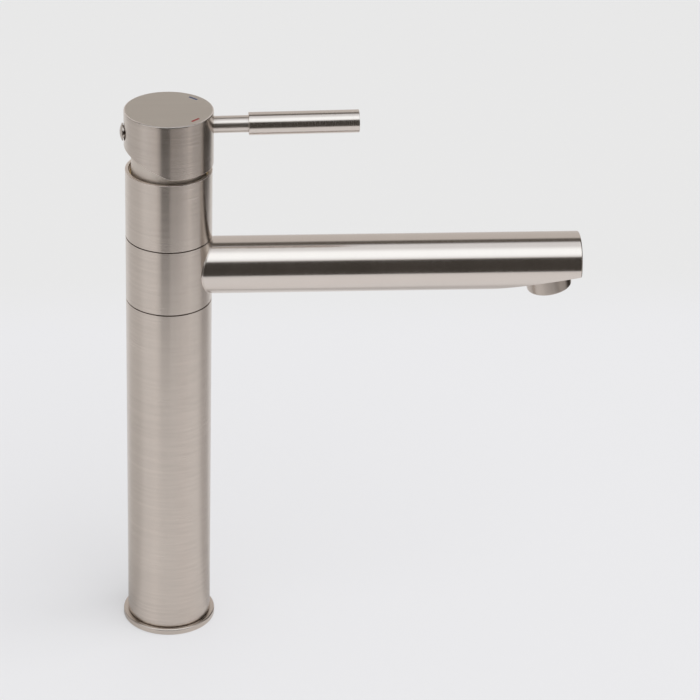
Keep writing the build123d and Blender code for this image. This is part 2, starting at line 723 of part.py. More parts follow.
# Lever grip, screwed on the rod
with BuildPart(lever_plane) as lever_grip:
    disc(handle_r + rod_visible, grip_length, grip_r)
    chamfer(rims(lever_grip, grip_r), grip_chamfer)
    disc(handle_r + rod_visible, rod_thread_l, rod_thread_r, Mode.SUBTRACT)
lever_grip.part.label = "lever_grip"
export_step(lever_grip.part, "parts/lever_grip.step")

# Screw behind the plug: its tip bears on the stem's rear face
screw_above_pivot = screw_z - pivot_z
screw_tip = (screw_above_pivot - screw_r) * tan(lean) - stem_t / 2 / cos(lean)

with BuildPart() as grub_screw:
    bar(screw_tip - screw_length, screw_z, screw_length, screw_r - seat_gap)
    with BuildSketch(Plane.YZ.offset(screw_tip - screw_length)):
        with Locations((0, screw_z)):
            RegularPolygon(screw_key_r, 6, major_radius=False)
    extrude(amount=screw_key_depth, mode=Mode.SUBTRACT)
grub_screw.part.label = "grub_screw"
export_step(grub_screw.part, "parts/grub_screw.step")

# Domed plug over the screw
plug_plane = Plane(origin=(-handle_r, 0, screw_z), x_dir=(0, 1, 0), z_dir=(-1, 0, 0))
dome_h = plug_head_h - plug_rim_h
dome_r = (plug_head_r**2 + dome_h**2) / (2 * dome_h)

with BuildPart(plug_plane) as rear_plug:
    with Locations((0, 0, plug_standoff + plug_head_h - dome_r)):
        Sphere(dome_r)
    split(bisect_by=plug_plane.offset(plug_standoff + plug_rim_h), keep=Keep.TOP)
    disc(plug_standoff, plug_rim_h, plug_head_r)
    disc(-plug_stem_l, plug_stem_l + plug_standoff, plug_stem_r)
rear_plug.part.label = "rear_plug"
export_step(rear_plug.part, "parts/rear_plug.step")
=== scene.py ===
"""A kitchen mixer tap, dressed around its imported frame.

The pieces that show are modelled here and stand for the solids of the frame,
each on the body that carries it. What is hidden inside keeps its solid and
gets a finish. All sizes are metres, in the frame's own axes: +Z up the column,
+X along the spout and the lever, the user's left at -Y.
"""

import json
import logging
import math
from contextlib import contextmanager
from dataclasses import dataclass, field, replace
from enum import Enum
from typing import Callable, Iterator, Sequence

import bmesh
import bpy
from mathutils import Euler, Matrix, Vector


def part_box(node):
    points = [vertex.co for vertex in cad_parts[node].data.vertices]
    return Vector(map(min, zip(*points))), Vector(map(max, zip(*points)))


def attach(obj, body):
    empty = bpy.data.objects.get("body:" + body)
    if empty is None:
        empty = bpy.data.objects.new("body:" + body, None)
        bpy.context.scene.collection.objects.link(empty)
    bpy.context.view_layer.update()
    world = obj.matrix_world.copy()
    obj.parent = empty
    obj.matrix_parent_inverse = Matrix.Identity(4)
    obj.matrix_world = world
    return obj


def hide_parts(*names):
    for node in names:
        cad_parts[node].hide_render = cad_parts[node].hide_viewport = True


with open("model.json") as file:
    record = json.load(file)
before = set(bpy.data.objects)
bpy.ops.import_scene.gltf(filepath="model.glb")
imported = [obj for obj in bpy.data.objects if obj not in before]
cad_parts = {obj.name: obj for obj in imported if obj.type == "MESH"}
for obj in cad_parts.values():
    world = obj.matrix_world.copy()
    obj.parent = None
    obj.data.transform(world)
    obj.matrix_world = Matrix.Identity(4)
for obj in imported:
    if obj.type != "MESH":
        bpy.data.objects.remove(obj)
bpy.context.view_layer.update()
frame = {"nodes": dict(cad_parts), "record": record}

LOG = logging.getLogger("mixer_tap")
NICKEL_SLOT = "brushed_nickel"

TURN_STEPS = 160          # facets round a turned piece
MERGE = 1e-6              # points nearer than this are one point
SAME = 2e-5               # tolerance when a point is picked by its place
SMOOTH_ANGLE = 24.0       # degrees above which an edge stays sharp
FACING_UP = 0.5           # a face's normal reaches this when it faces more up than out
LEVEL = 0.99              # and this when the face is level

Colour = tuple[float, float, float]
Piece = bpy.types.Object
Socket = bpy.types.NodeSocket
PointTest = Callable[[Vector], bool]


class Element(Enum):
    """The kinds of mesh element that can be picked."""

    VERTEX = "VERT"
    EDGE = "EDGE"
    FACE = "FACE"


class Brush(Enum):
    """How a metal surface was finished."""

    TURNED = "turned"      # fine lines round the axis
    STRAIGHT = "straight"  # fine lines along the local X axis


@dataclass(frozen=True)
class Placement:
    """Where a turned piece's own axis lies: a point on it and its tilt about Y.

    A tilt of 0 points the axis up and a tilt of 90 degrees along +X.
    """

    origin: Vector
    tilt: float = 0.0

    @property
    def turn(self) -> Euler:
        """The tilt as a rotation."""
        return Euler((0, self.tilt, 0))

    def matrix(self) -> Matrix:
        """The matrix from the piece's own axes to the frame's."""
        return Matrix.Translation(self.origin) @ Matrix.Rotation(self.tilt, 4, "Y")


UPRIGHT = Placement(Vector((0, 0, 0)))


def deselect() -> None:
    """Leave nothing selected."""
    bpy.ops.object.select_all(action="DESELECT")


def activate(piece: Piece) -> None:
    """Select one object alone and make it active.

    Args:
        piece: The object to work on.
    """
    deselect()
    piece.select_set(True)
    bpy.context.view_layer.objects.active = piece


@contextmanager
def editing(piece: Piece, kind: Element = Element.FACE) -> Iterator[None]:
    """Work on a mesh in edit mode.

    Args:
        piece: The mesh object to edit.
        kind: The kind of element that operators act on.
    """
    activate(piece)
    bpy.ops.object.mode_set(mode="EDIT")
    bpy.ops.mesh.select_mode(type=kind.value)
    yield
    bpy.ops.object.mode_set(mode="OBJECT")


def select_where(piece: Piece, kind: Element, test: PointTest) -> int:
    """Select the elements in edit mode whose points all pass a test.

    Args:
        piece: The mesh object in edit mode.
        kind: Vertices, edges or faces.
        test: Says of a point whether it belongs.

    Returns:
        How many elements are selected.
    """
    bpy.ops.mesh.select_all(action="DESELECT")
    bpy.ops.mesh.select_mode(type=kind.value)
    mesh = bmesh.from_edit_mesh(piece.data)
    inside = {vertex for vertex in mesh.verts if test(vertex.co)}
    if kind is Element.VERTEX:
        found = list(inside)
    else:
        elements = mesh.edges if kind is Element.EDGE else mesh.faces
        found = [element for element in elements if all(v in inside for v in element.verts)]
    for element in found:
        element.select_set(True)
    mesh.select_flush_mode()
    bmesh.update_edit_mesh(piece.data)
    return len(found)


def extrude(shift: Vector) -> None:
    """Extrude what is selected in edit mode.

    Args:
        shift: How far and which way.
    """
    bpy.ops.mesh.extrude_region_move(TRANSFORM_OT_translate={"value": shift})


def cut_plane(point: Vector, normal: Vector, **options: bool) -> None:
    """Cut the whole mesh in edit mode along a plane.

    Args:
        point: A point on the plane.
        normal: The plane's normal.
        options: What else the cut does, such as clearing one side.
    """
    bpy.ops.mesh.select_all(action="SELECT")
    bpy.ops.mesh.bisect(plane_co=point, plane_no=normal, threshold=MERGE, **options)


def slice_off(piece: Piece, point: Vector, normal: Vector) -> None:
    """Cut a closed piece flat and keep the side that the normal points to.

    Args:
        piece: The mesh to cut.
        point: A point on the cut.
        normal: The direction of the side that stays.
    """
    with editing(piece):
        cut_plane(point, normal, use_fill=True, clear_inner=True)


def add_rings(piece: Piece, axis: Vector, places: Sequence[float]) -> None:
    """Cut extra edge rings square to an axis, to keep long facets short.

    Args:
        piece: The mesh to cut.
        axis: The direction that the rings are square to.
        places: Distances along the axis.
    """
    with editing(piece):
        for place in places:
            cut_plane(axis * place, axis)


def apply_modifier(piece: Piece, kind: str, **settings: object) -> None:
    """Add a modifier, set it and apply it.

    Args:
        piece: The mesh object.
        kind: Blender's name for the modifier.
        settings: Values for the modifier's own properties.
    """
    activate(piece)
    bpy.ops.object.modifier_add(type=kind)
    modifier = piece.modifiers[-1]
    for name, value in settings.items():
        setattr(modifier, name, value)
    bpy.ops.object.modifier_apply(modifier=modifier.name)


def bevel_edges(piece: Piece, width: float, segments: int, above: float) -> None:
    """Round every edge that turns by more than an angle.

    Args:
        piece: The closed mesh.
        width: The width of the rounding.
        segments: How many facets it has.
        above: The angle, in degrees.
    """
    limit = math.radians(above)
    apply_modifier(
        piece, "BEVEL", width=width, segments=segments, limit_method="ANGLE", angle_limit=limit
    )


def cut_away(piece: Piece, cutter: Piece) -> None:
    """Take a cutter's volume out of a piece and delete the cutter.

    Args:
        piece: The closed mesh that is cut.
        cutter: The closed mesh to remove from it.
    """
    apply_modifier(piece, "BOOLEAN", operation="DIFFERENCE", solver="EXACT", object=cutter)
    bpy.data.objects.remove(cutter)


def settle(piece: Piece) -> None:
    """Merge doubles and turn every face outwards.

    Args:
        piece: The closed mesh.
    """
    with editing(piece, Element.VERTEX):
        bpy.ops.mesh.select_all(action="SELECT")
        bpy.ops.mesh.remove_doubles(threshold=MERGE)
        bpy.ops.mesh.normals_make_consistent(inside=False)


def move_to(piece: Piece, matrix: Matrix) -> None:
    """Move a piece to its place and keep that place in its mesh.

    Args:
        piece: The mesh object, modelled on its own axes.
        matrix: The matrix from those axes to the frame's.
    """
    activate(piece)
    piece.matrix_world = matrix
    bpy.ops.object.transform_apply()


def smooth(piece: Piece) -> None:
    """Shade a piece smooth, with flat faces kept flat beside their rounded edges.

    Args:
        piece: The finished mesh.
    """
    activate(piece)
    bpy.ops.object.shade_smooth_by_angle(angle=math.radians(SMOOTH_ANGLE))
    apply_modifier(piece, "WEIGHTED_NORMAL", keep_sharp=True, weight=100)


class Section:
    """Half the cross-section of a turned piece, beside its axis.

    It starts as a rectangle of stock in the XZ plane, is cut and rounded like a
    workpiece on a lathe, and is then spun round its axis.
    """

    def __init__(self, name: str, inner: float, outer: float, low: float, high: float) -> None:
        """Lay out the stock.

        Args:
            name: The finished piece's name.
            inner: Inner radius, 0 for a solid bar.
            outer: Outer radius.
            low: Lower end, along the axis.
            high: Upper end.
        """
        deselect()
        bpy.ops.mesh.primitive_plane_add(
            size=1,
            location=((inner + outer) / 2, 0, (low + high) / 2),
            rotation=(math.pi / 2, 0, 0),
        )
        self.piece = bpy.context.object
        self.piece.name = name
        self.piece.scale = (outer - inner, high - low, 1)
        bpy.ops.object.transform_apply()

    def remove(self, inner: float, outer: float, low: float, high: float) -> None:
        """Cut a rectangle out of the stock.

        Args:
            inner: Smallest radius of the rectangle.
            outer: Largest radius.
            low: Its lower end.
            high: Its upper end.
        """

        def within(point: Vector) -> bool:
            """Whether a point lies in the rectangle."""
            beside = inner - SAME < point.x < outer + SAME
            return beside and low - SAME < point.z < high + SAME

        with editing(self.piece):
            for radius in (inner, outer):
                cut_plane(Vector((radius, 0, 0)), Vector((1, 0, 0)))
            for height in (low, high):
                cut_plane(Vector((0, 0, height)), Vector((0, 0, 1)))
            select_where(self.piece, Element.FACE, within)
            bpy.ops.mesh.delete(type="FACE")
            bpy.ops.mesh.select_all(action="SELECT")
            bpy.ops.mesh.dissolve_limited(angle_limit=math.radians(1))

    def round(self, radius: float, height: float, size: float, segments: int) -> None:
        """Round one corner.

        Args:
            radius: The corner's distance from the axis.
            height: The corner's place along the axis.
            size: The radius of the rounding.
            segments: How many facets it has; 1 makes a chamfer.
        """
        corner = Vector((radius, 0, height))
        with editing(self.piece, Element.VERTEX):
            select_where(self.piece, Element.VERTEX, lambda point: (point - corner).length < SAME)
            bpy.ops.mesh.bevel(affect="VERTICES", offset=size, segments=segments, profile=0.5)

    def turn(self, placement: Placement = UPRIGHT) -> Piece:
        """Spin the section into a closed piece and put it in its place.

        Args:
            placement: Where the axis lies; the column's own axis if left out.

        Returns:
            The turned mesh object.
        """
        with editing(self.piece):
            bpy.ops.mesh.select_all(action="SELECT")
            bpy.ops.mesh.delete(type="ONLY_FACE")
            if select_where(self.piece, Element.EDGE, lambda point: abs(point.x) < MERGE):
                bpy.ops.mesh.delete(type="EDGE")
            bpy.ops.mesh.select_all(action="SELECT")
            bpy.ops.mesh.spin(
                steps=TURN_STEPS,
                angle=math.tau,
                center=(0, 0, 0),
                axis=(0, 0, 1),
                use_auto_merge=True,
            )
        settle(self.piece)
        move_to(self.piece, placement.matrix())
        return self.piece


def round_bar(name: str, radius: float, low: float, high: float, placement: Placement) -> Piece:
    """Make a plain round bar, to cut with.

    Args:
        name: The object's name.
        radius: The bar's radius.
        low: Its lower end along the axis.
        high: Its upper end.
        placement: Where the axis lies.

    Returns:
        The bar.
    """
    return Section(name, 0, radius, low, high).turn(placement)


class Nodes:
    """Adds shader nodes to a tree and links what feeds them."""

    def __init__(self, tree: bpy.types.NodeTree) -> None:
        """Start from an empty tree.

        Args:
            tree: The node tree of a material or the world.
        """
        self.tree = tree
        tree.nodes.clear()

    def add(self, kind: str, inputs: dict | None = None, **settings: object) -> bpy.types.Node:
        """Add a node.

        Args:
            kind: Blender's name for the node type.
            inputs: A value or another node's output for each named or numbered input.
            settings: Values for the node's own properties.

        Returns:
            The new node.
        """
        node = self.tree.nodes.new(kind)
        for name, value in settings.items():
            setattr(node, name, value)
        for key, value in (inputs or {}).items():
            self.feed(node.inputs[key], value)
        return node

    def feed(self, socket: Socket, value: object) -> None:
        """Link a socket to another node's output, or set its value.

        Args:
            socket: The input.
            value: The output or the plain value.
        """
        if isinstance(value, Socket):
            self.tree.links.new(value, socket)
        else:
            socket.default_value = value

    def mesh_point(self) -> Socket:
        """Where the shaded point lies in its mesh."""
        return self.add("ShaderNodeTexCoord").outputs["Object"]

    def split(self, vector: Socket) -> Sequence[Socket]:
        """The three parts of a vector."""
        return self.add("ShaderNodeSeparateXYZ", {0: vector}).outputs

    def combine(self, *parts: object) -> Socket:
        """A vector of three numbers or sockets."""
        return self.add("ShaderNodeCombineXYZ", dict(enumerate(parts))).outputs[0]

    def math(self, operation: str, *values: object) -> Socket:
        """Add a Math node.

        Args:
            operation: Blender's name for the sum.
            values: Numbers or sockets.

        Returns:
            The result's socket.
        """
        return self.add("ShaderNodeMath", dict(enumerate(values)), operation=operation).outputs[0]

    def plus(self, first: object, second: object) -> Socket:
        """Add two numbers or sockets."""
        return self.math("ADD", first, second)

    def times(self, first: object, second: object) -> Socket:
        """Multiply two numbers or sockets."""
        return self.math("MULTIPLY", first, second)

    def measure(self, operation: str, *vectors: object) -> Socket:
        """Add a Vector Math node that gives a number.

        Args:
            operation: Blender's name for the sum.
            vectors: Vectors or sockets.

        Returns:
            The number's socket.
        """
        node = self.add("ShaderNodeVectorMath", dict(enumerate(vectors)), operation=operation)
        return node.outputs["Value"]

    def noise(self, vector: Socket, scale: float, detail: float = 2.0) -> Socket:
        """Add a Noise texture and return its grey value.

        Args:
            vector: Where the noise is read.
            scale: Waves per unit of the vector.
            detail: How many finer layers are added.

        Returns:
            The value's socket, about 0.5 on average.
        """
        inputs = {"Vector": vector, "Scale": scale, "Detail": detail}
        return self.add("ShaderNodeTexNoise", inputs).outputs[0]

    def vary(self, noise: Socket, middle: float, spread: float) -> Socket:
        """Turn a noise value into one that varies about a number.

        Args:
            noise: The noise, of which 0.3 to 0.7 is used.
            middle: The number.
            spread: How far the result goes to each side of it.

        Returns:
            The result's socket.
        """
        inputs = {"Value": noise, "From Min": 0.3, "From Max": 0.7}
        inputs.update({"To Min": middle - spread, "To Max": middle + spread})
        return self.add("ShaderNodeMapRange", inputs).outputs[0]

    def step(self, value: Socket, low: float, high: float) -> Socket:
        """Rise smoothly from 0 to 1.

        Args:
            value: What the step depends on.
            low: Where the result is 0; it may be the larger of the two.
            high: Where it is 1.

        Returns:
            The result's socket.
        """
        falling = low > high
        inputs = {"Value": value, "From Min": min(low, high), "From Max": max(low, high)}
        inputs.update({"To Min": float(falling), "To Max": float(not falling)})
        return self.add("ShaderNodeMapRange", inputs, interpolation_type="SMOOTHSTEP").outputs[0]

    def tinted(self, colour: Colour, factor: Socket) -> Socket:
        """Multiply a colour by a grey factor that varies over the surface.

        Args:
            colour: The plain colour.
            factor: The varying factor, about 1.

        Returns:
            The varied colour's socket.
        """
        inputs = {0: colour, "Scale": factor}
        return self.add("ShaderNodeVectorMath", inputs, operation="SCALE").outputs[0]

    def blend(self, share: object, first: object, second: object) -> Socket:
        """Blend two colours.

        Args:
            share: The share of the second colour.
            first: A colour or its socket.
            second: Another.

        Returns:
            The blended colour's socket.
        """
        node = self.add("ShaderNodeMix", data_type="RGBA")
        inputs = {socket.identifier: socket for socket in node.inputs}
        self.feed(inputs["Factor_Float"], share)
        for name, colour in (("A_Color", first), ("B_Color", second)):
            self.feed(inputs[name], colour if isinstance(colour, Socket) else (*colour, 1))
        return next(socket for socket in node.outputs if socket.identifier == "Result_Color")


def new_material(name: str) -> tuple[bpy.types.Material, Nodes]:
    """Make an empty node material.

    Args:
        name: The material's name.

    Returns:
        The material and its nodes.
    """
    material = bpy.data.materials.new(name)
    material.use_nodes = True
    return material, Nodes(material.node_tree)


@dataclass(frozen=True)
class Finish:
    """What every finish has; each kind adds a pattern of its own."""

    name: str
    colour: Colour
    roughness: float = 0.3

    def material(self) -> bpy.types.Material:
        """Build the finish.

        Returns:
            The material, made once for each name.
        """
        name = self.name + "_finish"
        if name in bpy.data.materials:
            return bpy.data.materials[name]
        material, nodes = new_material(name)
        shader = nodes.add("ShaderNodeBsdfPrincipled", self.shading(nodes))
        nodes.add("ShaderNodeOutputMaterial", {"Surface": shader.outputs[0]})
        return material

    def shading(self, nodes: Nodes) -> dict[str, object]:
        """What the shader's inputs are; each kind of finish says so."""
        raise NotImplementedError


@dataclass(frozen=True)
class BrushedMetal(Finish):
    """Metal with fine brush or turning lines.

    The lines stretch each reflection across themselves, roughen it unevenly
    and show as faint streaks, coarse and fine.
    """

    stretch: float = 0.7           # anisotropy: 0 is even, 1 is all across the lines
    brush: Brush = Brush.TURNED
    placement: Placement = UPRIGHT
    fine: float = 5200.0           # fine streaks per metre
    coarse: float = 1100.0         # coarse streaks per metre
    fine_share: float = 0.6        # weight of the fine streaks beside the coarse ones
    run: float = 22.0              # changes per metre along a streak
    depth: float = 0.000006        # depth of the lines
    shade: float = 0.035           # how far the streaks vary the colour
    unevenness: float = 0.03       # and the roughness
    patches: float = 45.0          # broad, faint patches per metre
    patch_shade: float = 0.015     # how far they vary colour and roughness

    def along(self, placement: Placement) -> "BrushedMetal":
        """The same finish, turned round another axis."""
        return replace(self, placement=placement)

    def shading(self, nodes: Nodes) -> dict[str, object]:
        """Build the pattern.

        Args:
            nodes: The material's nodes.

        Returns:
            What the shader's inputs are.
        """
        point = nodes.mesh_point()
        inputs = {"Vector": point, "Location": self.placement.origin, "Rotation": self.placement.turn}
        own = nodes.add("ShaderNodeMapping", inputs, vector_type="TEXTURE").outputs[0]
        parts = nodes.split(own)
        fine = self.streaks(nodes, parts, self.fine)
        coarse = self.streaks(nodes, parts, self.coarse)
        mixed = nodes.plus(nodes.times(fine, self.fine_share), nodes.times(coarse, 1 - self.fine_share))
        patch = nodes.noise(point, self.patches, 3.0)
        tint = nodes.times(nodes.vary(mixed, 1, self.shade), nodes.vary(patch, 1, self.patch_shade))
        streaky = nodes.vary(fine, 0, self.unevenness)
        bump = nodes.add("ShaderNodeBump", {"Strength": 1.0, "Distance": self.depth, "Height": mixed})
        return {
            "Base Color": nodes.tinted(self.colour, tint),
            "Metallic": 1.0,
            "Roughness": nodes.plus(streaky, nodes.vary(patch, self.roughness, self.patch_shade)),
            "Normal": bump.outputs[0],
            "Tangent": self.lines(nodes, parts),
            "Anisotropic": self.stretch,
            "Anisotropic Rotation": 0.25,      # a quarter turn: across the lines
        }

    def streaks(self, nodes: Nodes, parts: Sequence[Socket], density: float) -> Socket:
        """Read a noise that is drawn out along the lines.

        Args:
            nodes: The material's nodes.
            parts: The shaded point's place on the piece's own axes.
            density: Streaks per metre across the lines.

        Returns:
            The noise's socket.
        """
        x, y, z = parts
        if self.brush is Brush.TURNED:
            squares = nodes.plus(nodes.times(x, x), nodes.times(y, y))
            across, along = nodes.math("SQRT", squares), nodes.plus(x, y)
        else:
            across, along = y, x
        drawn = [nodes.times(across, density), nodes.times(along, self.run), nodes.times(z, density)]
        return nodes.noise(nodes.combine(*drawn), 1.0)

    def lines(self, nodes: Nodes, parts: Sequence[Socket]) -> Socket:
        """Find the way the lines run at the shaded point.

        Args:
            nodes: The material's nodes.
            parts: The point's place on the piece's own axes.

        Returns:
            The direction's socket, in the world's axes.
        """
        if self.brush is Brush.TURNED:
            own = nodes.combine(nodes.times(parts[1], -1.0), parts[0], 0.0)
        else:
            own = nodes.combine(1.0, 0.0, 0.0)
        inputs = {"Vector": own, "Rotation": self.placement.turn}
        in_mesh = nodes.add("ShaderNodeMapping", inputs, vector_type="VECTOR").outputs[0]
        spaces = {"vector_type": "VECTOR", "convert_from": "OBJECT", "convert_to": "WORLD"}
        return nodes.add("ShaderNodeVectorTransform", {0: in_mesh}, **spaces).outputs[0]


@dataclass(frozen=True)
class Moulded(Finish):
    """A moulded, cast or painted material with a fine grain of its own."""

    grain: float = 900.0           # grains per metre
    depth: float = 0.00002         # depth of the grain
    shade: float = 0.05            # how far the grain varies the colour
    unevenness: float = 0.06       # and the roughness
    patch: float = 12.0            # width of the broad patches, in grains

    def shading(self, nodes: Nodes) -> dict[str, object]:
        """Build the pattern.

        Args:
            nodes: The material's nodes.

        Returns:
            What the shader's inputs are.
        """
        point = nodes.mesh_point()
        grain = nodes.noise(point, self.grain, 3.0)
        patch = nodes.noise(point, self.grain / self.patch)
        tint = nodes.times(nodes.vary(grain, 1, self.shade), nodes.vary(patch, 1, self.shade))
        bump = nodes.add("ShaderNodeBump", {"Strength": 1.0, "Distance": self.depth, "Height": grain})
        return {
            "Base Color": nodes.tinted(self.colour, tint),
            "Roughness": nodes.vary(grain, self.roughness, self.unevenness),
            "Normal": bump.outputs[0],
        }


COLUMN_FINISH = BrushedMetal(
    "nickel_column", (0.61, 0.54, 0.48), 0.24, run=50.0, coarse=950.0, depth=0.0000035, shade=0.10
)
HANDLE_FINISH = replace(COLUMN_FINISH, name="nickel_handle_side", colour=(0.56, 0.495, 0.44), shade=0.12)
HANDLE_TOP_FINISH = BrushedMetal(
    "nickel_handle_top", (0.585, 0.53, 0.467), 0.42, stretch=0.4, brush=Brush.STRAIGHT
)
# a lighter copy of the nickel on the handle's top chamfer: a painted highlight along its edge
EDGE_HIGHLIGHT_FINISH = BrushedMetal("nickel_edge_painted_highlight", (0.80, 0.74, 0.69), 0.18, stretch=0.0, depth=0.0000005)
# a lighter copy of the nickel on the sleeve's lip: painted light, so that the neck above it reflects a
# lit rim
RIM_PAINTED_LIGHT_FINISH = BrushedMetal("nickel_rim_painted_light", (0.80, 0.72, 0.65), 0.42, stretch=0.0, depth=0.000002)
# a lighter copy of the nickel: painted light that makes up for the shade in the groove under the handle
NECK_PAINTED_LIGHT_FINISH = BrushedMetal("nickel_neck_painted_light", (0.74, 0.67, 0.60), 0.50, stretch=0.1, depth=0.000001)
PLUG_FINISH = BrushedMetal("nickel_plug", (0.50, 0.445, 0.40), 0.25, stretch=0.2, depth=0.000001)
# a darker copy of the nickel: painted shade from the spout above the nozzle
NOZZLE_PAINTED_SHADE_FINISH = BrushedMetal("nickel_nozzle_painted_shade", (0.54, 0.475, 0.42), depth=0.000002, shade=0.02)
SPOUT_FINISH = BrushedMetal("nickel_spout", (0.70, 0.635, 0.58), 0.2, depth=0.0000008, shade=0.01)
GRIP_FINISH = BrushedMetal("nickel_lever_grip", (0.70, 0.635, 0.58), 0.25, depth=0.0000003, shade=0.015)
ROD_FINISH = replace(GRIP_FINISH, name="nickel_lever_rod", roughness=0.34)
RED = Moulded("red_enamel", (0.27, 0.022, 0.022), 0.6, grain=2500.0, depth=0.000005)
BLUE = Moulded("blue_enamel", (0.055, 0.075, 0.145), 0.6, grain=2500.0, depth=0.000005)
INNER_FINISHES = (
    BrushedMetal("brass", (0.72, 0.58, 0.33), 0.35, stretch=0.4),
    BrushedMetal("copper", (0.72, 0.42, 0.29), 0.32, stretch=0.3, fine=1500.0, coarse=300.0),
    BrushedMetal("steel", (0.55, 0.55, 0.55), 0.35, stretch=0.3),
    Moulded("black_rubber", (0.04, 0.04, 0.04), 0.7),
    Moulded("white_plastic", (0.82, 0.82, 0.80), 0.4),
    Moulded("grey_plastic", (0.30, 0.31, 0.32), 0.45),
    Moulded("ceramic", (0.90, 0.88, 0.84), 0.15, depth=0.000002),
)


def dress(piece: Piece, body: str, nodes: list[str], *finishes: Finish, slot: str = NICKEL_SLOT) -> None:
    """Give a finished piece its finish, its body and the solids that it stands for.

    Args:
        piece: The finished mesh.
        body: The body that carries it.
        nodes: The solids that it replaces.
        finishes: One finish for each of the piece's material slots.
        slot: The record's material slot; not used.
    """
    smooth(piece)
    piece.data.materials.clear()
    for finish in finishes:
        piece.data.materials.append(finish.material())
    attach(piece, body)
    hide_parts(*nodes)
    LOG.info("%s: %d faces on %s", piece.name, len(piece.data.polygons), body)


@dataclass
class Column:
    """The base ring and the long column."""

    tube_wall: float = 0.0018
    ring_bore: float = 0.01792
    ring_round: float = 0.0009
    land_drop: float = 0.0005      # shadow gap between ring and column
    land_r: float = 0.0216
    groove_in: float = 0.02015     # gasket groove
    groove_out: float = 0.02275
    groove_h: float = 0.0016
    edge: float = 0.0003

    def build(self) -> None:
        """Model and dress both pieces."""
        dress(self.make_ring(), "fixed_body", ["base_ring"], COLUMN_FINISH)
        dress(self.make_tube(), "fixed_body", ["column_tube"], COLUMN_FINISH)

    def make_ring(self) -> Piece:
        """Turn the base ring.

        Returns:
            The ring, with its raised land and the groove for its gasket.
        """
        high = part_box("base_ring")[1]
        shoulder = high.z - self.land_drop
        section = Section("base_ring_turned", self.ring_bore, high.x, 0, high.z)
        section.remove(self.land_r, high.x, shoulder, high.z)
        section.remove(self.groove_in, self.groove_out, 0, self.groove_h)
        section.round(high.x, shoulder, self.ring_round, segments=8)
        section.round(high.x, 0, self.edge, segments=2)
        return section.turn()

    def make_tube(self) -> Piece:
        """Turn the column.

        Returns:
            The open tube, with softened rims.
        """
        low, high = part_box("column_tube")
        section = Section("column_brushed", high.x - self.tube_wall, high.x, low.z, high.z)
        section.round(high.x, high.z, self.edge, segments=2)
        section.round(high.x, low.z, self.edge, segments=2)
        return section.turn()


